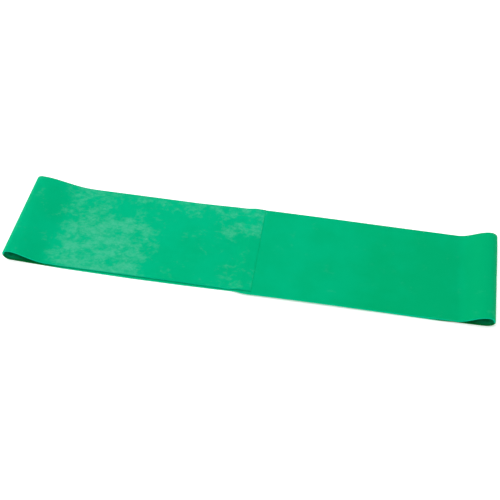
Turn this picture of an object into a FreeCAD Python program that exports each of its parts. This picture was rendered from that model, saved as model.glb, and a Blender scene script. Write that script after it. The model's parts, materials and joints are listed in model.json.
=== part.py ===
import FreeCAD, Part
import math
import os
import Sketcher

# A closed loop of latex strip lying flat: a lower run on the table, an upper run on top of it,
# a teardrop fold at each end, and a bonded lap in the middle of the upper run.
# X runs along the band, Y across its width, Z up. The origin is the middle of the footprint.
# The strip is divided where it bends or stretches, because each stretch of it moves on its own.

DIMENSIONS = [
    ("flat_length", 228.6),  # the loop laid flat, over both folds
    ("band_width", 50.8),
    ("thickness", 0.8),  # of the latex
    ("ply_gap", 0.3),  # between the lower and the upper run
    ("left_curl_radius", 3.35),  # to the middle of the latex
    ("right_curl_radius", 2.95),
    ("left_slope_length", 24.0),  # from the curl to where the upper run lies flat
    ("right_slope_length", 17.0),
    ("side_span", 40.0),  # mean distance from a curl's centre to its bends in the two runs
    ("open_angle", 60.0),  # how far each side turns up, in degrees
    ("bend_gap", 0.6),  # between two neighbours that turn against each other
    ("end_gap", 0.2),  # between two neighbours that slide apart, and at a curl's top
    ("under_ply_end", -5.5),  # the right-hand strip's end, below the lap
    ("under_ply_root", 6.0),  # where the lap meets the upper run on the right
    ("top_ply_end", 3.5),  # the left-hand strip's end, on top of the lap
    ("top_ply_root", -16.0),  # where the lap meets the upper run on the left
    ("joggle_start", -13.5),  # where the top ply starts to climb over the under ply
    ("joggle_end", -9.5),
    ("skive_length", 2.0),  # the top ply's end is pared down over this length
    ("skive_edge", 0.4),  # to this thickness
    ("cement_film", 0.1),
    ("cement_gap", 0.1),  # running clearance below the film, where the loop's chain is open
]

SIZE = dict(DIMENSIONS)

# Heights of the layers, as expressions of the sheet's cells.
UPPER_BOTTOM = "(Sheet.thickness + Sheet.ply_gap)"
FILM_BOTTOM = f"({UPPER_BOTTOM} + Sheet.thickness + Sheet.cement_gap)"
TOP_PLY_BOTTOM = f"({FILM_BOTTOM} + Sheet.cement_film)"
UPPER_BOTTOM_MM = SIZE["thickness"] + SIZE["ply_gap"]
FILM_BOTTOM_MM = UPPER_BOTTOM_MM + SIZE["thickness"] + SIZE["cement_gap"]
TOP_PLY_BOTTOM_MM = FILM_BOTTOM_MM + SIZE["cement_film"]

HALF_TURN = FreeCAD.Placement(FreeCAD.Vector(), FreeCAD.Rotation(FreeCAD.Vector(0, 0, 1), 180))
IN_PLACE = FreeCAD.Placement()

START, END, CENTRE = 1, 2, 3  # the points of a sketch line or arc
ORIGIN = (-1, 1)


def make_sheet(doc):
    sheet = doc.addObject("Spreadsheet::Sheet", "Sheet")
    for row, (name, value) in enumerate(DIMENSIONS, start=1):
        sheet.set(f"A{row}", name)
        sheet.set(f"B{row}", str(value))
        sheet.setAlias(f"B{row}", name)
    return sheet


def start_profile(doc, label, placement):
    """A body with an empty sketch on its own XZ plane: sketch x is X and sketch y is Z."""
    body = doc.addObject("PartDesign::Body", label)
    body.Label = label
    body.Placement = placement
    plane = next(part for part in body.Origin.OriginFeatures if part.Role == "XZ_Plane")
    sketch = body.newObject("Sketcher::SketchObject", f"{label}_profile")
    sketch.AttachmentSupport = [(plane, "")]
    sketch.MapMode = "FlatFace"
    return body, sketch


def pad_across_width(body, sketch):
    pad = body.newObject("PartDesign::Pad", f"{body.Label}_pad")
    pad.Profile = sketch
    pad.SideType = "Symmetric"
    pad.setExpression("Length", "Sheet.band_width")
    return body


def drive(sketch, kind, first, second, name, value, expression):
    """A named distance between two points, (geometry, point) each, bound to the sheet."""
    sketch.addConstraint(Sketcher.Constraint(kind, *first, *second, value))
    sketch.renameConstraint(sketch.ConstraintCount - 1, name)
    sketch.setExpression(f"Constraints.{name}", expression)


def drive_radius(sketch, arc, name, value, expression):
    sketch.addConstraint(Sketcher.Constraint("Radius", arc, value))
    sketch.renameConstraint(sketch.ConstraintCount - 1, name)
    sketch.setExpression(f"Constraints.{name}", expression)


def add_polygon(sketch, corners):
    """Closed chain of lines through the corners; line number n starts at corner number n."""
    points = [FreeCAD.Vector(x, z, 0) for x, z in corners]
    for here, there in zip(points, points[1:] + points[:1]):
        sketch.addGeometry(Part.LineSegment(here, there))
    for line in range(len(points)):
        sketch.addConstraint(
            Sketcher.Constraint("Coincident", line, END, (line + 1) % len(points), START)
        )


def flat_strip(doc, label, start, end, bottom, height, placement=IN_PLACE):
    """A flat piece; start, end, bottom and height are (millimetres, expression) pairs."""
    body, sketch = start_profile(doc, label, placement)
    x0, x1, z0, z1 = start[0], end[0], bottom[0], bottom[0] + height[0]
    add_polygon(sketch, [(x0, z0), (x1, z0), (x1, z1), (x0, z1)])
    for line, kind in enumerate(("Horizontal", "Vertical", "Horizontal", "Vertical")):
        sketch.addConstraint(Sketcher.Constraint(kind, line))
    drive(sketch, "DistanceX", ORIGIN, (0, START), "start_x", x0, start[1])
    drive(sketch, "DistanceX", ORIGIN, (0, END), "end_x", x1, end[1])
    drive(sketch, "DistanceY", ORIGIN, (0, START), "bottom_z", z0, bottom[1])
    drive(sketch, "DistanceY", (1, START), (1, END), "height", z1 - z0, height[1])
    return pad_across_width(body, sketch)


class EndPlaces:
    """Where the curl and the bends of one end are, each as a (millimetres, expression) pair."""

    def __init__(self, side):
        radius = SIZE[f"{side}_curl_radius"]
        cell = f"Sheet.{side}_curl_radius"
        self.radius = (radius, cell)
        self.curl_x = (
            SIZE["flat_length"] / 2 - SIZE["thickness"] / 2 - radius,
            f"(Sheet.flat_length / 2 - Sheet.thickness / 2 - {cell})",
        )
        self.curl_z = (SIZE["thickness"] / 2 + radius, f"(Sheet.thickness / 2 + {cell})")
        # The side links of the lower and the upper run differ by this much each way from the
        # mean, so that the two halves of the upper run meet again when the loop is fully open.
        mean_run_z = (SIZE["thickness"] + SIZE["ply_gap"] / 2)
        shift = (self.curl_z[0] - mean_run_z) / math.tan(math.radians(SIZE["open_angle"] / 2))
        shift_text = (
            f"({self.curl_z[1]} - Sheet.thickness - Sheet.ply_gap / 2)"
            " / tan(Sheet.open_angle / 2 * 1 deg)"
        )
        self.lower_bend_x = (
            self.curl_x[0] - SIZE["side_span"] + shift,
            f"({self.curl_x[1]} - Sheet.side_span + {shift_text})",
        )
        self.upper_bend_x = (
            self.curl_x[0] - SIZE["side_span"] - shift,
            f"({self.curl_x[1]} - Sheet.side_span - {shift_text})",
        )
        self.flat_x = (
            self.curl_x[0] - SIZE[f"{side}_slope_length"],
            f"({self.curl_x[1]} - Sheet.{side}_slope_length)",
        )


def beside(place, share, cell):
    """A place moved along X by share times a gap from the sheet."""
    return (place[0] + share * SIZE[cell], f"{place[1]} + {share} * Sheet.{cell}")


def curl(doc, label, places, placement):
    """The half ring at the very end of the loop, from the lower run round to the upper one."""
    body, sketch = start_profile(doc, label, placement)
    radius, cell = places.radius
    half = SIZE["thickness"] / 2
    centre = FreeCAD.Vector(places.curl_x[0], places.curl_z[0], 0)
    ends = []
    for size in (radius + half, radius - half):
        circle = Part.Circle(centre, FreeCAD.Vector(0, 0, 1), size)
        sketch.addGeometry(Part.ArcOfCircle(circle, -math.pi / 2, math.pi / 2))
        ends.append((centre.y - size, centre.y + size))
    outer, inner, low_edge, top_edge = range(4)
    for level in (0, 1):
        sketch.addGeometry(
            Part.LineSegment(
                FreeCAD.Vector(centre.x, ends[0][level], 0),
                FreeCAD.Vector(centre.x, ends[1][level], 0),
            )
        )
    sketch.addConstraint(
        [
            Sketcher.Constraint("Coincident", outer, CENTRE, inner, CENTRE),
            Sketcher.Constraint("Coincident", outer, START, low_edge, START),
            Sketcher.Constraint("Coincident", inner, START, low_edge, END),
            Sketcher.Constraint("Coincident", outer, END, top_edge, START),
            Sketcher.Constraint("Coincident", inner, END, top_edge, END),
            Sketcher.Constraint("Vertical", outer, START, outer, CENTRE),
            Sketcher.Constraint("Vertical", outer, END, outer, CENTRE),
            Sketcher.Constraint("Vertical", low_edge),
            Sketcher.Constraint("Vertical", top_edge),
        ]
    )
    drive(sketch, "DistanceX", ORIGIN, (outer, CENTRE), "curl_x", *places.curl_x)
    drive(sketch, "DistanceY", ORIGIN, (outer, CENTRE), "curl_z", *places.curl_z)
    drive_radius(sketch, outer, "outer_radius", radius + half, f"{cell} + Sheet.thickness / 2")
    drive_radius(sketch, inner, "inner_radius", radius - half, f"{cell} - Sheet.thickness / 2")
    return pad_across_width(body, sketch)


def slope(doc, label, places, placement):
    """From the top of the curl down an easy S to the flat upper run, as far as its bend."""
    body, sketch = start_profile(doc, label, placement)
    half = SIZE["thickness"] / 2
    top_x = places.curl_x[0] - SIZE["end_gap"]
    top_z = places.curl_z[0] + places.radius[0]
    run_z = UPPER_BOTTOM_MM + half
    flat_x = places.flat_x[0]
    bend_x = places.upper_bend_x[0] + SIZE["bend_gap"] / 2
    # Two equal arcs that meet halfway, where their tangent is common.
    turn = 2 * math.atan((top_z - run_z) / (top_x - flat_x))
    radius = (top_x - flat_x) / (2 * math.sin(turn))
    crest = FreeCAD.Vector(top_x, top_z - radius, 0)
    foot = FreeCAD.Vector(flat_x, run_z + radius, 0)

    def arc(centre, size, first, last):
        circle = Part.Circle(centre, FreeCAD.Vector(0, 0, 1), size)
        sketch.addGeometry(Part.ArcOfCircle(circle, first, last))

    def line(x0, z0, x1, z1):
        sketch.addGeometry(Part.LineSegment(FreeCAD.Vector(x0, z0, 0), FreeCAD.Vector(x1, z1, 0)))

    up, down = math.pi / 2, -math.pi / 2
    arc(crest, radius + half, up, up + turn)
    arc(foot, radius - half, down, down + turn)
    line(flat_x, run_z + half, bend_x, run_z + half)
    line(bend_x, run_z + half, bend_x, run_z - half)
    line(bend_x, run_z - half, flat_x, run_z - half)
    arc(foot, radius + half, down, down + turn)
    arc(crest, radius - half, up, up + turn)
    line(top_x, top_z - half, top_x, top_z + half)
    crest_top, foot_top, run_top, bend_edge, run_bottom, foot_bottom, crest_bottom, top_edge = range(8)
    sketch.addConstraint(
        [
            Sketcher.Constraint("Coincident", crest_top, CENTRE, crest_bottom, CENTRE),
            Sketcher.Constraint("Coincident", foot_top, CENTRE, foot_bottom, CENTRE),
            Sketcher.Constraint("Tangent", crest_top, END, foot_top, END),
            Sketcher.Constraint("Tangent", foot_top, START, run_top, START),
            Sketcher.Constraint("Coincident", run_top, END, bend_edge, START),
            Sketcher.Constraint("Coincident", bend_edge, END, run_bottom, START),
            Sketcher.Constraint("Tangent", run_bottom, END, foot_bottom, START),
            Sketcher.Constraint("Tangent", foot_bottom, END, crest_bottom, END),
            Sketcher.Constraint("Coincident", crest_bottom, START, top_edge, START),
            Sketcher.Constraint("Coincident", top_edge, END, crest_top, START),
            Sketcher.Constraint("Horizontal", run_top),
            Sketcher.Constraint("Horizontal", run_bottom),
            Sketcher.Constraint("Vertical", bend_edge),
            Sketcher.Constraint("Vertical", top_edge),
            Sketcher.Constraint("Vertical", crest_top, START, crest_top, CENTRE),
            Sketcher.Constraint("Equal", crest_top, foot_bottom),
        ]
    )
    top = beside(places.curl_x, -1, "end_gap")
    bend = beside(places.upper_bend_x, 0.5, "bend_gap")
    drive(sketch, "DistanceX", ORIGIN, (crest_top, START), "top_x", *top)
    drive(
        sketch, "DistanceY", ORIGIN, (crest_top, START), "top_z", top_z + half,
        f"{places.curl_z[1]} + {places.radius[1]} + Sheet.thickness / 2",
    )
    drive(sketch, "DistanceX", ORIGIN, (foot_top, CENTRE), "flat_x", *places.flat_x)
    drive(sketch, "DistanceX", ORIGIN, (run_top, END), "bend_x", *bend)
    drive(sketch, "DistanceY", ORIGIN, (run_bottom, START), "run_z", UPPER_BOTTOM_MM, UPPER_BOTTOM)
    drive(
        sketch, "DistanceY", (bend_edge, END), (bend_edge, START), "thickness",
        SIZE["thickness"], "Sheet.thickness",
    )
    return pad_across_width(body, sketch)


def end_of_loop(doc, side, placement):
    """The five pieces from one bonded lap's side round the fold to the middle of the lower run."""
    places = EndPlaces(side)
    on_table = (0.0, "0 mm")
    upper = (UPPER_BOTTOM_MM, UPPER_BOTTOM)
    latex = (SIZE["thickness"], "Sheet.thickness")
    middle = (SIZE["end_gap"] / 2, "Sheet.end_gap / 2")
    lap = {
        "left": (-SIZE["top_ply_root"], "-Sheet.top_ply_root"),
        "right": (SIZE["under_ply_root"], "Sheet.under_ply_root"),
    }[side]
    return [
        flat_strip(
            doc, f"lower_run_{side}", middle, beside(places.lower_bend_x, -0.5, "bend_gap"),
            on_table, latex, placement,
        ),
        flat_strip(
            doc, f"{side}_end_lower", beside(places.lower_bend_x, 0.5, "bend_gap"), places.curl_x,
            on_table, latex, placement,
        ),
        curl(doc, f"{side}_end_curl", places, placement),
        slope(doc, f"{side}_end_upper", places, placement),
        flat_strip(
            doc, f"upper_run_{side}", beside(lap, 1, "end_gap"),
            beside(places.upper_bend_x, -0.5, "bend_gap"), upper, latex, placement,
        ),
    ]


def lap_top_ply(doc):
    """The left-hand strip's end: it climbs over the under ply and is pared thin at its edge."""
    body, sketch = start_profile(doc, "lap_top_ply", IN_PLACE)
    low, high, latex = UPPER_BOTTOM_MM, TOP_PLY_BOTTOM_MM, SIZE["thickness"]
    root, climb, crest = SIZE["top_ply_root"], SIZE["joggle_start"], SIZE["joggle_end"]
    end = SIZE["top_ply_end"]
    pare = end - SIZE["skive_length"]
    edge = high + SIZE["skive_edge"]
    add_polygon(
        sketch,
        [
            (root, low), (climb, low), (crest, high), (end, high), (end, edge),
            (pare, high + latex), (crest, high + latex), (climb, low + latex), (root, low + latex),
        ],
    )
    for line in (0, 2, 5, 7):
        sketch.addConstraint(Sketcher.Constraint("Horizontal", line))
    for line in (3, 8):
        sketch.addConstraint(Sketcher.Constraint("Vertical", line))
    sketch.addConstraint(Sketcher.Constraint("Vertical", 1, START, 7, START))
    sketch.addConstraint(Sketcher.Constraint("Vertical", 2, START, 6, START))
    drive(sketch, "DistanceX", ORIGIN, (0, START), "root_x", root, "Sheet.top_ply_root")
    drive(sketch, "DistanceX", ORIGIN, (1, START), "climb_x", climb, "Sheet.joggle_start")
    drive(sketch, "DistanceX", ORIGIN, (2, START), "crest_x", crest, "Sheet.joggle_end")
    drive(sketch, "DistanceX", ORIGIN, (3, START), "end_x", end, "Sheet.top_ply_end")
    drive(
        sketch, "DistanceX", (5, START), (3, START), "skive_length",
        SIZE["skive_length"], "Sheet.skive_length",
    )
    drive(sketch, "DistanceY", ORIGIN, (0, START), "low_z", low, UPPER_BOTTOM)
    drive(sketch, "DistanceY", ORIGIN, (2, START), "high_z", high, TOP_PLY_BOTTOM)
    drive(
        sketch, "DistanceY", (3, START), (3, END), "skive_edge",
        SIZE["skive_edge"], "Sheet.skive_edge",
    )
    drive(sketch, "DistanceY", (8, END), (8, START), "root_height", latex, "Sheet.thickness")
    drive(sketch, "DistanceY", (2, START), (6, START), "crest_height", latex, "Sheet.thickness")
    return pad_across_width(body, sketch)


def lap(doc):
    """The bonded lap: under ply, cement film and top ply, from the bottom up."""
    under_ply = flat_strip(
        doc, "lap_under_ply", (SIZE["under_ply_end"], "Sheet.under_ply_end"),
        (SIZE["under_ply_root"], "Sheet.under_ply_root"),
        (UPPER_BOTTOM_MM, UPPER_BOTTOM), (SIZE["thickness"], "Sheet.thickness"),
    )
    cement = flat_strip(
        doc, "lap_cement", (SIZE["under_ply_end"], "Sheet.under_ply_end"),
        (SIZE["top_ply_end"], "Sheet.top_ply_end"),
        (FILM_BOTTOM_MM, FILM_BOTTOM), (SIZE["cement_film"], "Sheet.cement_film"),
    )
    return [under_ply, cement, lap_top_ply(doc)]


def check(doc, subparts):
    for item in doc.Objects:
        if {"Invalid", "Error"} & set(item.State):
            raise RuntimeError(f"{item.Label} failed: {item.State}")
        if item.TypeId == "Sketcher::SketchObject" and not item.FullyConstrained:
            raise RuntimeError(f"{item.Label} is not fully constrained")
    for body in subparts:
        if body.Shape.isNull() or not body.Shape.isValid() or not body.Shape.Solids:
            raise RuntimeError(f"{body.Label} is not a valid solid")


def export(subparts):
    os.makedirs("parts", exist_ok=True)
    for body in subparts:
        body.Shape.exportStep(f"parts/{body.Label}.step")
        box = body.Shape.BoundBox
        print(
            f"{body.Label:18s} x {box.XMin:8.2f} {box.XMax:8.2f}  z {box.ZMin:6.2f} {box.ZMax:6.2f}"
            f"  volume {body.Shape.Volume:8.1f}"
        )


def main():
    doc = FreeCAD.newDocument("loop_band")
    make_sheet(doc)
    doc.recompute()
    subparts = end_of_loop(doc, "left", HALF_TURN)
    subparts += end_of_loop(doc, "right", IN_PLACE)
    subparts += lap(doc)
    doc.recompute()
    check(doc, subparts)
    export(subparts)


main()
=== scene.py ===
"""The looks of a latex loop band that lies flat: one strip of latex, lapped and bonded in the
middle of its upper run, with an open fold at each end. The strip is worked out as one sheet,
with stations along its length and columns across its width, and then cut into pieces where it
bends or stretches; each piece takes the place of the CAD parts that it hides."""

import json
import math

import bpy
import numpy as np
from mathutils import Matrix, Vector


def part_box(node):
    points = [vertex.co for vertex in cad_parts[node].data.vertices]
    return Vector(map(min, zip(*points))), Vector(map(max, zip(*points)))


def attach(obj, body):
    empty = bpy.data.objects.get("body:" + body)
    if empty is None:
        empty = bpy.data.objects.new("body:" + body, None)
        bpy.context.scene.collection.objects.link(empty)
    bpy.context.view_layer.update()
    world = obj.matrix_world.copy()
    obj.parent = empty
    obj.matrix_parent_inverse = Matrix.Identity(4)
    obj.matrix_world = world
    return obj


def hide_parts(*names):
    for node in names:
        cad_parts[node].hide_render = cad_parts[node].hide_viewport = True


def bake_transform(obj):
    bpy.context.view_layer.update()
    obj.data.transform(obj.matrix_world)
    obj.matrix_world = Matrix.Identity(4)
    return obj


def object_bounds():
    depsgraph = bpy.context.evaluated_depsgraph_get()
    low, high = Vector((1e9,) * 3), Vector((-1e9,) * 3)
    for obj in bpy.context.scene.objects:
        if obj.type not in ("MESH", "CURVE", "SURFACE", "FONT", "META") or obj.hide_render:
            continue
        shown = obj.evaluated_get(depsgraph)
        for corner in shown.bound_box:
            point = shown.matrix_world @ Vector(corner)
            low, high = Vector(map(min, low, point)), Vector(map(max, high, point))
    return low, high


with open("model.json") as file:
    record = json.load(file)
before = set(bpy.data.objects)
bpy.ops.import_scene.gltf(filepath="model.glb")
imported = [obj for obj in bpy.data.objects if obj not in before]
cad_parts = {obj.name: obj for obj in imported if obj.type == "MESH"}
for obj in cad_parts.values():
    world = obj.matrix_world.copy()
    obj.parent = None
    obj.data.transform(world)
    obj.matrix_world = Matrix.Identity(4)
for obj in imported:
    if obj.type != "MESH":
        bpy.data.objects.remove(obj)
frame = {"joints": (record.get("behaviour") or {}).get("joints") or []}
cad_low, cad_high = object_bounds()

MM = 0.001  # shapes are worked out in millimetres and made in metres


# ---------------------------------------------------------------- sizes, from the CAD frame


def joint_x(name):
    """Distance of a joint from the middle of the band, in millimetres."""
    joint = next(j for j in frame["joints"] if j["name"] == name)
    return abs(joint["pos_m"][0]) / MM


def node_x(node):
    """Lowest and highest x of a CAD node, in millimetres."""
    low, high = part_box(node)
    return low[0] / MM, high[0] / MM


run_low, run_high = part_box("lower_run_left")
THICK = (run_high[2] - run_low[2]) / MM
HALF_LENGTH = cad_high[0] / MM
UNDER_END = node_x("lap_under_ply")[0]
TOP_END = node_x("lap_top_ply")[1]

RUN_GAP = 0.06  # the upper run rests on the lower one
FILM = 0.06  # cement between the two plies of the lap
LOWER_Z = THICK / 2  # the middle of the latex in the lower run
UPPER_Z = THICK * 1.5 + RUN_GAP
LAP_Z = UPPER_Z + THICK + FILM

BEND_INSIDE = 6.0  # a bend reaches this far from its hinge towards the middle of the band
PIECE_REACH = BEND_INSIDE + 4.0  # a bend's piece starts this far inside its hinge
EDGE_ROUND = 0.1  # the cut edges are barely rounded
SIDE_OFFSET = 40.0  # keeps the texture of the two faces and the edges apart
SKIVE_EDGE = 0.07  # both ends of the strip are pared down to this on their outer side
SKIVE_LENGTH = 4.5
TOP_END_SKEW = 1.0  # the top ply's end leans right by this much at the near edge
JOGGLE = (-7.2, -0.5)  # where the top ply climbs over the under ply's end
SWELL, SWELL_LENGTHS = 0.10, (17.0, 41.0)  # low waves in the upper run, and how long they are
LIFTED = 0.25  # the near part of the right-hand slope stands up by this
FLAT_NEAR_LAP = (14, 30)  # the waves fade in between these distances from the middle
FLAT_NEAR_CURL = (96, 110)  # and fade out between these
FILM_EDGES = (-25.0, 25.6)  # the cement film's near and far y
FILM_END_WAVE = 0.25  # its hidden end wanders by this
FILM_INSET = 0.2  # its top stops this short of the top ply's end
BEAD, BEAD_WAVE = 0.35, 0.12  # cement squeezed out past the top ply's end
COLUMNS = 45
V = np.linspace(0, 1, COLUMNS)  # 0 at the near edge of the strip and 1 at the far one
FINE, COARSE = 1.0, 2.0  # steps between stations
CURL_STEPS = 14  # stations in a quarter ring


class End:
    """One end of the loop. A pair holds the values at the near and at the far edge."""

    def __init__(self, side, sign, fold_height, slope_length, slope_shape, nose):
        self.side = side
        self.sign = sign
        self.fold_height = fold_height  # over the outside of the fold
        self.slope_length = slope_length  # from the top of the curl down to the flat run
        self.slope_shape = slope_shape  # under 1 bulges and over 1 sags
        self.nose = nose  # 1 is a round underside, and more lifts it off the table sooner
        self.lower_bend = joint_x("loop_open" if side == "right" else "left_lower_bend")
        self.upper_bend = joint_x(f"{side}_upper_bend")

    def radius(self, v):
        return (across(self.fold_height, v) - THICK) / 2

    def top_x(self, v):
        return HALF_LENGTH - THICK / 2 - self.radius(v)

    def foot_x(self, v):
        return HALF_LENGTH - THICK / 2 - self.radius(v) * across(self.nose, v)

    def height(self, x, v):
        """Height of the middle of the latex in the upper run, at a distance x from the middle."""
        top = LOWER_Z + 2 * self.radius(v)
        length = across(self.slope_length, v)
        share = np.clip((x - self.top_x(v) + length) / length, 0, 1)
        rise = (1 - np.cos(math.pi * share ** across(self.slope_shape, v))) / 2
        return UPPER_Z + (top - UPPER_Z) * rise


def across(pair, v):
    """Between a near and a far value; v is 0 at the near edge and 1 at the far one."""
    return pair[0] + (pair[1] - pair[0]) * v


def smooth(x, low, high):
    """0 below low and 1 above high, with a soft passage between."""
    share = np.clip((x - low) / (high - low), 0, 1)
    return share * share * (3 - 2 * share)


def fade(x, low, high):
    """1 below low and 0 above high, with a soft passage between."""
    return smooth(-x, -high, -low)


RIGHT = End("right", 1, (6.8, 6.95), (14.0, 16.0), (1.0, 1.15), (1.5, 1.1))
LEFT = End("left", -1, (6.6, 6.4), (19.0, 29.0), (1.2, 1.22), (1.0, 1.0))


# ---------------------------------------------------------------- the sheet's stations


def shares(length, step):
    """Even shares of the way along a length, from 0 to 1, about a step apart."""
    return np.linspace(0, 1, max(3, round(length / step) + 1))[:, None]


def upper_run(end, v, start, stop, step):
    """The upper run between two distances from the middle; each may differ along v."""
    start, stop = np.broadcast_to(start, v.shape), np.broadcast_to(stop, v.shape)
    x = start + shares(np.abs(stop - start).max(), step) * (stop - start)
    return end.sign * x, end.height(x, v)


def lower_run(v, start, stop, step):
    """The lower run between two places along X."""
    start, stop = np.broadcast_to(start, v.shape), np.broadcast_to(stop, v.shape)
    x = start + shares(np.abs(stop - start).max(), step) * (stop - start)
    return x, np.full(x.shape, LOWER_Z)


def curl(end, v, first, last):
    """A quarter of a ring at the end of the loop, between two angles from the level."""
    angle = np.linspace(first, last, CURL_STEPS)[:, None]
    radius = end.radius(v)
    reach = np.where(angle < 0, radius * across(end.nose, v), radius)
    x = HALF_LENGTH - THICK / 2 - reach * (1 - np.cos(angle))
    z = LOWER_Z + end.radius(v) * (1 + np.sin(angle))
    return end.sign * x, z


def top_ply(v, start, step):
    """The left-hand strip's end: flat, up over the under ply, and on to its skewed end."""
    finish = TOP_END + TOP_END_SKEW * (1 - 2 * v)
    x = start + shares(TOP_END - start, step) * (finish - start)
    return x, UPPER_Z + (LAP_Z - UPPER_Z) * smooth(x, *JOGGLE)


def sections(v):
    """The strip from the right-hand end round to the left-hand one, section by section."""
    up, level, down = math.pi / 2, 0, -math.pi / 2
    right_top, left_top = RIGHT.upper_bend - PIECE_REACH, LEFT.upper_bend - PIECE_REACH
    right_low, left_low = RIGHT.lower_bend - PIECE_REACH, LEFT.lower_bend - PIECE_REACH
    return [
        ("upper_stretch_right", upper_run(RIGHT, v, UNDER_END, right_top, COARSE)),
        ("upper_bend_right", upper_run(RIGHT, v, right_top, RIGHT.top_x(v), FINE)),
        ("curl_upper_right", curl(RIGHT, v, up, level)),
        ("curl_lower_right", curl(RIGHT, v, level, down)),
        ("lower_bend_right", lower_run(v, RIGHT.foot_x(v), right_low, FINE)),
        ("lower_stretch", lower_run(v, right_low, -left_low, COARSE)),
        ("lower_bend_left", lower_run(v, -left_low, -LEFT.foot_x(v), FINE)),
        ("curl_lower_left", curl(LEFT, v, down, level)),
        ("curl_upper_left", curl(LEFT, v, level, up)),
        ("upper_bend_left", upper_run(LEFT, v, LEFT.top_x(v), left_top, FINE)),
        ("upper_stretch_left", top_ply(v, -left_top, FINE)),
    ]


# The strip's two edges: share of the way along the strip, near y, far y.
EDGES = [
    (0.000, -25.2, 25.9),
    (0.006, -26.0, 26.0),
    (0.015, -26.6, 26.2),
    (0.040, -26.3, 26.3),
    (0.200, -25.3, 26.2),
    (0.240, -24.9, 26.1),
    (0.265, -24.3, 26.1),
    (0.295, -24.6, 26.0),
    (0.312, -25.1, 26.0),
    (0.500, -25.3, 25.9),
    (0.560, -26.1, 25.1),
    (0.610, -26.45, 24.8),
    (0.680, -26.35, 24.8),
    (0.740, -25.5, 25.0),
    (0.815, -25.8, 24.9),
    (0.930, -25.2, 25.0),
    (0.970, -25.1, 25.7),
    (1.000, -25.1, 25.9),
]


def waviness(x, v):
    """The upper run doesn't lie quite flat: low swells, and one lifted place near the right."""
    short, long = SWELL_LENGTHS
    swell = 0.5 + 0.5 * np.sin(x / short + 2.1 * v) * np.cos(x / long - 3.0 * v)
    lifted = smooth(x, 72, 92) * fade(x, 94, 104) * fade(v, 0.0, 0.45)
    return SWELL * swell + LIFTED * lifted


class Sheet:
    """Middle surface, outward normal and edges of the whole strip, by station and column."""

    def __init__(self):
        self.spans = {}
        xs, zs = [], []
        for name, (x, z) in sections(V):
            skip = 1 if xs else 0  # a section starts on the last station of the one before
            first = sum(len(part) for part in xs) - skip
            xs.append(x[skip:])
            zs.append(z[skip:])
            self.spans[name] = (first, first + len(x) - 1)
        self.x, self.z = np.vstack(xs), np.vstack(zs)
        steps = np.hypot(np.diff(self.x, axis=0), np.diff(self.z, axis=0))
        self.length = np.vstack([np.zeros(COLUMNS), np.cumsum(steps, axis=0)])
        self.share = self.length / self.length[-1]
        places, near, far = np.array(EDGES).T
        near_y = np.interp(self.share, places, near)
        far_y = np.interp(self.share, places, far)
        self.y = near_y + (far_y - near_y) * V
        self.lift()
        self.points = np.stack([self.x, self.y, self.z], 2)
        along = np.gradient(self.points, axis=0)
        self.over = np.gradient(self.points, axis=1)
        self.over /= np.linalg.norm(self.over, axis=2, keepdims=True)
        self.normal = np.cross(along, self.over)
        self.normal /= np.linalg.norm(self.normal, axis=2, keepdims=True)
        self.outer = np.full(self.x.shape, THICK / 2)
        self.pare()

    def lift(self):
        """Adds the waviness to the flat part of the upper run."""
        upper = np.zeros((len(self.x), 1), bool)
        for name, (first, last) in self.spans.items():
            if name.startswith("upper"):
                upper[first : last + 1] = True
        from_middle = np.abs(self.x)
        free = smooth(from_middle, *FLAT_NEAR_LAP) * fade(from_middle, *FLAT_NEAR_CURL)
        self.z += np.where(upper, waviness(self.x, V) * free, 0.0)

    def pare(self):
        """Thins both ends of the strip, on their outer side."""
        from_end = np.minimum(self.length, self.length[-1] - self.length)
        pared = np.clip(1 - from_end / SKIVE_LENGTH, 0, 1)
        self.outer -= pared * (THICK - SKIVE_EDGE)


sheet = Sheet()


# ---------------------------------------------------------------- looks that follow the strip


def talc_amount(x, v, upper):
    """How much powder lies on the outer face, 0 to 1: most of it near the left fold."""
    thick_patch = smooth(x + 4 * v, -101, -84) * fade(x, -55, -36)
    thick_patch = thick_patch * (0.88 - 0.42 * smooth(v, 0.55, 0.8))
    far_rim = smooth(v, 0.70, 0.92) * smooth(x, -102, -92) * 0.68
    far_by_lap = smooth(x, -24, -12) * smooth(v, 0.5, 0.7) * 0.62
    near_by_lap = smooth(x, -20, -5) * fade(v, 0.2, 0.45) * 0.42
    fold_rim = fade(x, -113, -108) * fade(v, 0.1, 0.5) * 0.45
    least = np.full(x.shape, 0.10)
    powder = np.maximum.reduce([thick_patch, far_rim, far_by_lap, near_by_lap, fold_rim, least])
    return np.where(upper & (x < TOP_END + TOP_END_SKEW), powder, 0.0)


def painted_shade_amount(x, v, side, edge, lower):
    """Painted shade, 0 to 1: the same latex darkened where shade falls inside the loop, most on the
    lower lips of the folds, and 0 on the outer face.
    """
    run = 0.30 * smooth(np.minimum(v, 1 - v), 0.04, 0.14)
    fold = smooth(np.abs(x), 72, 98)
    nose = smooth(np.abs(x), 103, 111)
    depth = (run + (0.78 - run) * fold) * (1 - nose)
    # painted shade on the lower lip of each fold's opening
    lip = fold * lower * (side < 0.5)
    return np.where(edge | (side == 0), lip, np.where(side < 0, depth, 0.0))


def tone_and_shade_amount(x, v, upper):
    """0 for the lightest latex, on the left, and 1 for the deepest, right of the middle; the
    darkening over the right-hand nose and the left-hand curl is painted shade where those curves turn
    away from the lamp.
    """
    # the last term is painted shade over the right-hand nose
    right = 0.42 + smooth(x, 20, 75) * (0.60 - 0.2 * v) + 0.35 * smooth(x, 98, 106)
    # the first term is painted shade over the left-hand curl
    left = 0.25 * fade(x, -98, -88) + 0.30 * smooth(x, -48, -30) * fade(v, 0.55, 0.8)
    return np.where(upper, np.where(x > TOP_END, right, left), 0.5)


# ---------------------------------------------------------------- pieces of the strip


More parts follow.
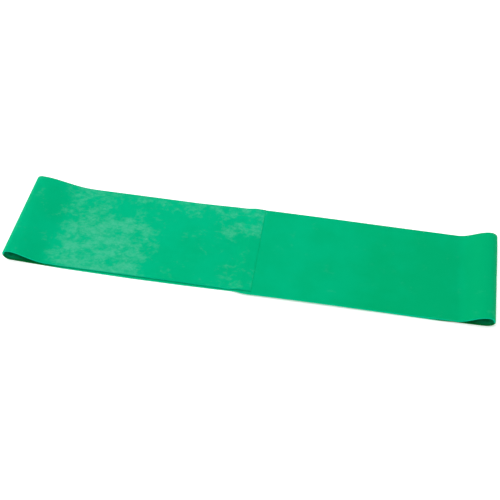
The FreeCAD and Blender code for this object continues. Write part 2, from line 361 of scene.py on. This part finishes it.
class Ring:
    """Vertex numbers round one station: outer face, far edge, inner face, near edge.

    columns, v and side give each vertex's column, its v, and 1 for the outer face, -1 for the
    inner face and 0 for an edge.
    """

    far = (COLUMNS, COLUMNS + 1)
    near = (2 * COLUMNS + 2, 2 * COLUMNS + 3)
    size = 2 * COLUMNS + 4
    columns = np.concatenate(
        [np.arange(COLUMNS), [COLUMNS - 1] * 2, np.arange(COLUMNS)[::-1], [0, 0]]
    )
    v = V[columns]
    side = np.concatenate([np.ones(COLUMNS), [0, 0], -np.ones(COLUMNS), [0, 0]])

    @staticmethod
    def inner(column):
        return 2 * COLUMNS + 1 - column


def ring_points(first, last):
    """Points and outward normals of the rings of some stations."""
    rows = slice(first, last + 1)
    middle, normal, over = sheet.points[rows], sheet.normal[rows], sheet.over[rows]
    outer = sheet.outer[rows][..., None]
    inner = THICK / 2
    inset = np.zeros((COLUMNS, 1))
    inset[0], inset[-1] = EDGE_ROUND, -EDGE_ROUND
    base = middle + over * inset
    outer_face = base + normal * outer
    inner_face = (base - normal * inner)[:, ::-1]

    def wall(column, offset):
        return (middle[:, column] + normal[:, column] * offset)[:, None]

    def wall_pair(column, order):
        top = np.maximum(outer[:, column] - EDGE_ROUND, 0.0)
        pair = [wall(column, top), wall(column, EDGE_ROUND - inner)]
        return pair[::order]

    points = np.concatenate(
        [outer_face, *wall_pair(-1, 1), inner_face, *wall_pair(0, -1)], axis=1
    )
    far_side, near_side = over[:, -1:], -over[:, :1]
    normals = np.concatenate(
        [normal, far_side, far_side, -normal[:, ::-1], near_side, near_side], axis=1
    )
    return points, normals


def skin_faces(stations):
    """Quads between each station's ring and the next one's."""
    faces = []
    for station in range(stations - 1):
        here, there = station * Ring.size, (station + 1) * Ring.size
        for k in range(Ring.size):
            following = (k + 1) % Ring.size
            faces.append((here + k, there + k, there + following, here + following))
    return faces


def cap_faces(base, forward):
    """Closes the ring that starts at vertex base, facing back along the strip or forward."""
    quads = [(j, j + 1, Ring.inner(j + 1), Ring.inner(j)) for j in range(COLUMNS - 1)]
    last = COLUMNS - 1
    quads.append((last, Ring.far[0], Ring.far[1], Ring.inner(last)))
    quads.append((Ring.near[1], 0, Ring.inner(0), Ring.near[0]))
    if forward:
        quads = [quad[::-1] for quad in quads]
    return [tuple(base + k for k in quad) for quad in quads]


def add_floats(mesh, name, values):
    """One number for each vertex, for the material to read."""
    attribute = mesh.attributes.new(name, "FLOAT", "POINT")
    attribute.data.foreach_set("value", np.asarray(values, np.float32).ravel())


def add_places(mesh, first, last, points):
    """The attribute strip: millimetres along the strip and across it, and the side."""
    length = sheet.length[first : last + 1][:, Ring.columns]
    side = np.broadcast_to(Ring.side, length.shape) * SIDE_OFFSET
    strip = mesh.attributes.new("strip", "FLOAT_VECTOR", "POINT")
    places = np.stack([length, points[..., 1], side], 2)
    strip.data.foreach_set("vector", places.astype(np.float32).ravel())


def add_looks(mesh, name, first, last, x):
    """The amounts of powder, of tone with painted shade on the curls, of painted light on the cut
    edges and of painted shade inside the loop at each vertex.
    """
    v, side = np.broadcast_to(Ring.v, x.shape), np.broadcast_to(Ring.side, x.shape)
    on_top, below = name.startswith(("upper", "curl")), "lower" in name
    strip_end = np.isin(np.arange(first, last + 1), (0, len(sheet.x) - 1))[:, None]
    rim = strip_end | np.isin(Ring.columns, (0, COLUMNS - 1))
    # painted light on the cut edges, left off the folds' lower lips, which keep their painted shade
    edge_light = (side == 0) * (1 - below * smooth(np.abs(x), 84, 94))
    add_floats(mesh, "talc", np.where(side >= 0, talc_amount(x, v, on_top), 0.0))
    add_floats(mesh, "tone_and_shade", tone_and_shade_amount(x, v, on_top))
    add_floats(mesh, "painted_edge_light", edge_light)
    add_floats(mesh, "painted_shade", painted_shade_amount(x, v, side, rim, below))


def set_normals(mesh, normals, skin_count):
    """The sheet's own normals on the skin, and flat caps."""
    flags = [True] * skin_count + [False] * (len(mesh.polygons) - skin_count)
    mesh.polygons.foreach_set("use_smooth", flags)
    corner_normals = normals.reshape(-1, 3)[[loop.vertex_index for loop in mesh.loops]]
    for polygon in list(mesh.polygons)[skin_count:]:
        corners = slice(polygon.loop_start, polygon.loop_start + polygon.loop_total)
        corner_normals[corners] = polygon.normal
    mesh.normals_split_custom_set(corner_normals.tolist())


def strip_piece(name, material):
    """A closed piece of the strip over one section's stations."""
    first, last = sheet.spans[name]
    points, normals = ring_points(first, last)
    stations = last - first + 1
    skin = skin_faces(stations)
    caps = cap_faces(0, False) + cap_faces((stations - 1) * Ring.size, True)
    mesh = bpy.data.meshes.new(name)
    mesh.from_pydata((points.reshape(-1, 3) * MM).tolist(), [], skin + caps)
    mesh.validate()
    add_places(mesh, first, last, points)
    add_looks(mesh, name, first, last, points[..., 0])
    set_normals(mesh, normals, len(skin))
    mesh.materials.append(material)
    piece = bpy.data.objects.new(f"latex_{name}", mesh)
    bpy.context.collection.objects.link(piece)
    return piece


def bond_film(material):
    """The cement film between the two plies, with a slightly uneven squeezed-out edge."""
    left = UNDER_END + SKIVE_LENGTH + FILM_END_WAVE * np.sin(9 * V)
    right = TOP_END + TOP_END_SKEW * (1 - 2 * V)
    y = across(FILM_EDGES, V)
    low = UPPER_Z + THICK / 2
    high = low + FILM
    bead = BEAD + BEAD_WAVE * np.sin(23 * V + 1)
    rows = [(left, low), (right + bead, low), (left, high), (right - FILM_INSET, high)]
    points = np.concatenate([np.stack([x, y, np.full(COLUMNS, z)], 1) for x, z in rows])
    low_left, low_right, top_left, top_right = (k * COLUMNS for k in range(4))
    faces = []
    for j in range(COLUMNS - 1):
        k = j + 1
        faces.append((top_left + j, top_right + j, top_right + k, top_left + k))
        faces.append((low_left + j, low_left + k, low_right + k, low_right + j))
        faces.append((low_right + j, low_right + k, top_right + k, top_right + j))
        faces.append((low_left + k, low_left + j, top_left + j, top_left + k))
    end = COLUMNS - 1
    faces.append((low_left, low_right, top_right, top_left))
    faces.append((low_right + end, low_left + end, top_left + end, top_right + end))
    mesh = bpy.data.meshes.new("bond_film")
    mesh.from_pydata((points * MM).tolist(), [], faces)
    mesh.materials.append(material)
    film = bpy.data.objects.new("bond_film", mesh)
    bpy.context.collection.objects.link(film)
    return film


# ---------------------------------------------------------------- materials


class Nodes:
    """Short names for the shader nodes used here."""

    def __init__(self, name):
        self.material = bpy.data.materials.new(name)
        self.material.use_nodes = True
        self.tree = self.material.node_tree
        self.shader = self.tree.nodes["Principled BSDF"]

    def add(self, kind, **settings):
        node = self.tree.nodes.new(kind)
        for key, value in settings.items():
            setattr(node, key, value)
        return node

    def link(self, source, target):
        self.tree.links.new(source, target)

    def attribute(self, name):
        return self.add("ShaderNodeAttribute", attribute_name=name)

    def noise(self, vector, scale, detail=4.0, rough=0.55, stretch=(1, 1, 1)):
        """Noise whose coarsest features are about 1 / scale of the vector's units across."""
        mapping = self.add("ShaderNodeMapping")
        mapping.inputs["Scale"].default_value = [scale * axis for axis in stretch]
        self.link(vector, mapping.inputs["Vector"])
        noise = self.add("ShaderNodeTexNoise")
        noise.inputs["Scale"].default_value = 1.0
        noise.inputs["Detail"].default_value = detail
        noise.inputs["Roughness"].default_value = rough
        self.link(mapping.outputs["Vector"], noise.inputs["Vector"])
        return noise.outputs["Fac"]

    def spread(self, value, low, high, to_low=0.0, to_high=1.0):
        node = self.add("ShaderNodeMapRange", interpolation_type="SMOOTHSTEP")
        self.link(value, node.inputs["Value"])
        for socket, number in zip(
            ("From Min", "From Max", "To Min", "To Max"), (low, high, to_low, to_high)
        ):
            node.inputs[socket].default_value = number
        return node.outputs["Result"]

    def maths(self, operation, first, second):
        node = self.add("ShaderNodeMath", operation=operation)
        for socket, value in zip(node.inputs, (first, second)):
            if isinstance(value, (int, float)):
                socket.default_value = value
            else:
                self.link(value, socket)
        return node.outputs["Value"]

    def mix(self, factor, first, second):
        node = self.add("ShaderNodeMix", data_type="RGBA")
        self.link(factor, node.inputs["Factor"])
        for socket, value in ((node.inputs["A"], first), (node.inputs["B"], second)):
            if isinstance(value, tuple):
                socket.default_value = (*value, 1.0)
            else:
                self.link(value, socket)
        return node.outputs["Result"]


LATEX_LIGHT = (0.0, 0.368, 0.173)
LATEX_DEEP = (0.0, 0.310, 0.120)
# painted shade: the dark green that stands in for shade inside the folds
PAINTED_SHADE_GREEN = (0.0, 0.125, 0.025)
# painted light: a paler green for the cut edges, which face away from the lamp
EDGE_PAINTED_LIGHT = (0.0, 0.440, 0.240)
POWDER = (0.110, 0.455, 0.305)
CEMENT_COLOUR = (0.0, 0.345, 0.145)
SHEEN_LEVEL, SHEEN_TINT = 0.01, (0.0, 1.0, 0.55, 1.0)  # rubber's weak, dull shine
POWDER_COVER = 0.52  # of the latex's colour where the powder lies thickest
EDGE_LIGHT_COVER = 0.75  # of the latex's colour along the cut edges: painted light, lightening the edges that the lamp barely reaches
BUMP_DEPTH = 0.05  # of the skin's grain
TABLE_LOW, TABLE_HIGH = (0.93, 0.93, 0.93), (0.96, 0.96, 0.96)
TABLE_GLOW = 0.25  # keeps the ground pure white round the band


def latex_material():
    """Green dipped latex: soft cloudy colour, powder in faint blotches, a dull green sheen."""
    n = Nodes("latex_green")
    strip = n.attribute("strip").outputs["Vector"]
    tone_and_shade = n.attribute("tone_and_shade").outputs["Fac"]
    talc = n.attribute("talc").outputs["Fac"]
    cut = n.attribute("painted_edge_light").outputs["Fac"]
    painted_shade = n.attribute("painted_shade").outputs["Fac"]

    clouds = n.spread(n.noise(strip, 0.05, detail=3.0), 0.35, 0.65, -0.16, 0.16)
    # darker tone along the band, with painted shade on the curls
    colour = n.mix(n.maths("ADD", tone_and_shade, clouds), LATEX_LIGHT, LATEX_DEEP)
    # painted shade inside the loop, darkest in the folds
    colour = n.mix(painted_shade, colour, PAINTED_SHADE_GREEN)

    blotches = n.spread(n.noise(strip, 0.13, detail=4.0, rough=0.6), 0.30, 0.70)
    dabs = n.spread(n.noise(strip, 0.45, detail=5.0, rough=0.65, stretch=(0.7, 1.0, 1.0)), 0.30, 0.70)
    pattern = n.maths("ADD", n.maths("MULTIPLY", blotches, 0.58), n.maths("MULTIPLY", dabs, 0.42))
    reach = n.maths("ADD", pattern, n.maths("MULTIPLY", talc, 0.75))
    grain = n.spread(n.noise(strip, 1.3, detail=4.0, rough=0.7), 0.30, 0.70, 0.62, 1.0)
    powder = n.maths("MULTIPLY", n.spread(reach, 0.72, 1.72), grain)
    specks = n.spread(n.noise(strip, 0.8, detail=2.0), 0.75, 0.82, 0.0, 0.25)
    powder = n.maths("MAXIMUM", powder, specks)
    colour = n.mix(n.maths("MULTIPLY", powder, POWDER_COVER), colour, POWDER)
    # painted light on the cut edges
    colour = n.mix(n.maths("MULTIPLY", cut, EDGE_LIGHT_COVER), colour, EDGE_PAINTED_LIGHT)
    n.link(colour, n.shader.inputs["Base Color"])

    rough = n.maths("ADD", n.maths("MULTIPLY", powder, 0.25), n.maths("MULTIPLY", clouds, 0.15))
    n.link(n.maths("ADD", rough, 0.52), n.shader.inputs["Roughness"])
    n.shader.inputs["Specular IOR Level"].default_value = SHEEN_LEVEL
    n.shader.inputs["Specular Tint"].default_value = SHEEN_TINT
    n.shader.inputs["IOR"].default_value = 1.52

    skin = n.maths("ADD", n.noise(strip, 1.6, detail=4.0), n.maths("MULTIPLY", powder, 0.5))
    bump = n.add("ShaderNodeBump")
    bump.inputs["Strength"].default_value = 0.18
    bump.inputs["Distance"].default_value = BUMP_DEPTH * MM
    n.link(skin, bump.inputs["Height"])
    n.link(bump.outputs["Normal"], n.shader.inputs["Normal"])
    return n.material


def cement_material():
    """Dried rubber cement: a little deeper and shinier than the latex, and uneven."""
    n = Nodes("rubber_cement")
    place = n.add("ShaderNodeTexCoord").outputs["Object"]
    uneven = n.noise(place, 900.0, detail=3.0)
    n.link(n.mix(uneven, CEMENT_COLOUR, LATEX_DEEP), n.shader.inputs["Base Color"])
    n.link(n.spread(uneven, 0.3, 0.7, 0.38, 0.55), n.shader.inputs["Roughness"])
    n.shader.inputs["Specular IOR Level"].default_value = SHEEN_LEVEL
    n.shader.inputs["Specular Tint"].default_value = SHEEN_TINT
    return n.material


def floor_material():
    """Matt white, for the table and the wall."""
    n = Nodes("white_table")
    place = n.add("ShaderNodeTexCoord").outputs["Object"]
    cloudy = n.noise(place, 3.0, detail=2.0)
    n.link(n.mix(cloudy, TABLE_LOW, TABLE_HIGH), n.shader.inputs["Base Color"])
    n.shader.inputs["Roughness"].default_value = 0.9
    n.shader.inputs["Specular IOR Level"].default_value = 0.1
    n.shader.inputs["Emission Color"].default_value = (1.0, 1.0, 1.0, 1.0)
    n.shader.inputs["Emission Strength"].default_value = TABLE_GLOW
    return n.material


# ---------------------------------------------------------------- putting it together


def place_end(end, material):
    """The bends, the two quarters of the curl and the upper stretch of one end."""
    side = end.side
    piece = strip_piece(f"lower_bend_{side}", material)
    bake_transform(piece)
    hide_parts(f"{side}_end_lower")

    outer = min(end.radius(0.0), end.radius(1.0)) + THICK / 2
    lower_curl = strip_piece(f"curl_lower_{side}", material)
    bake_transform(lower_curl)
    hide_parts(f"{side}_end_curl")
    upper_curl = strip_piece(f"curl_upper_{side}", material)
    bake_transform(upper_curl)
    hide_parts(f"{side}_end_curl")

    piece = strip_piece(f"upper_bend_{side}", material)
    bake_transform(piece)
    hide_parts(f"{side}_end_upper")

    piece = strip_piece(f"upper_stretch_{side}", material)
    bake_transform(piece)
    lap_node = {"right": "lap_under_ply", "left": "lap_top_ply"}[side]
    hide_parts(f"upper_run_{side}", lap_node)


def place_band():
    latex = latex_material()
    for end in (RIGHT, LEFT):
        place_end(end, latex)
    middle = strip_piece("lower_stretch", latex)
    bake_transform(middle)
    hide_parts("lower_run_left", "lower_run_right")
    film = bond_film(cement_material())
    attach(film, "lap_top")
    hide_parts("lap_cement")


TABLE_SIZE = 60.0  # metres, like the rest of the studio
WALL_RADIUS, WALL_DEPTH = 8.0, 6.0
WORLD_STRENGTH = 0.50
SUN_FROM, SUN_STRENGTH, SUN_SPREAD = (-0.42, 0.08, 0.90), 2.6, 80
CAMERA_PLACE = (0.0551, -0.2824, 0.3355)
CAMERA_DOWN, CAMERA_TURN, CAMERA_ROLL = 49.3, -11.125, -0.6  # degrees
CAMERA_LENS, SENSOR_WIDTH = 66.95, 36.0  # millimetres


def add_studio():
    """A wide white table, and a white wall far away all round it."""
    white = floor_material()
    bpy.ops.mesh.primitive_plane_add(size=TABLE_SIZE, location=(0, 0, 0))
    table = bpy.context.object
    table.name = "white_table"
    bpy.ops.mesh.primitive_cylinder_add(
        vertices=96,
        radius=WALL_RADIUS,
        depth=WALL_DEPTH,
        end_fill_type="NOTHING",
        location=(0, 0, 0),
    )
    wall = bpy.context.object
    wall.name = "white_wall"
    for part in (table, wall):
        part.data.materials.append(white)


def add_skylight(name, source, strength, spread):
    """A very wide, soft light from the direction of source, the same all over the table."""
    light = bpy.data.lights.new(name, "SUN")
    light.energy = strength
    light.angle = math.radians(spread)
    lamp = bpy.data.objects.new(name, light)
    lamp.rotation_euler = Vector(source).to_track_quat("Z", "Y").to_euler()
    bpy.context.collection.objects.link(lamp)


def add_world():
    world = bpy.data.worlds.new("studio")
    world.use_nodes = True
    background = world.node_tree.nodes["Background"]
    background.inputs["Color"].default_value = (1.0, 1.0, 1.0, 1.0)
    background.inputs["Strength"].default_value = WORLD_STRENGTH
    bpy.context.scene.world = world


def add_camera():
    """Above and in front of the band, a little to the right of its middle."""
    angles = (CAMERA_DOWN, CAMERA_TURN, CAMERA_ROLL)
    elevation, azimuth, roll = (math.radians(angle) for angle in angles)
    look = Vector(
        (
            math.sin(azimuth) * math.cos(elevation),
            math.cos(azimuth) * math.cos(elevation),
            -math.sin(elevation),
        )
    )
    level = look.cross(Vector((0, 0, 1))).normalized()
    up = level.cross(look)
    right = level * math.cos(roll) + up * math.sin(roll)
    up = right.cross(look)
    camera_data = bpy.data.cameras.new("camera")
    camera_data.sensor_width = SENSOR_WIDTH
    camera_data.lens = CAMERA_LENS
    camera_data.clip_start = 0.01
    camera = bpy.data.objects.new("camera", camera_data)
    turn = Matrix((right, up, -look)).transposed().to_4x4()
    camera.matrix_world = Matrix.Translation(CAMERA_PLACE) @ turn
    bpy.context.collection.objects.link(camera)
    bpy.context.scene.camera = camera


place_band()
add_studio()
add_world()
add_skylight("overhead", SUN_FROM, SUN_STRENGTH, SUN_SPREAD)
add_camera()
bpy.context.scene.view_settings.view_transform = "Standard"
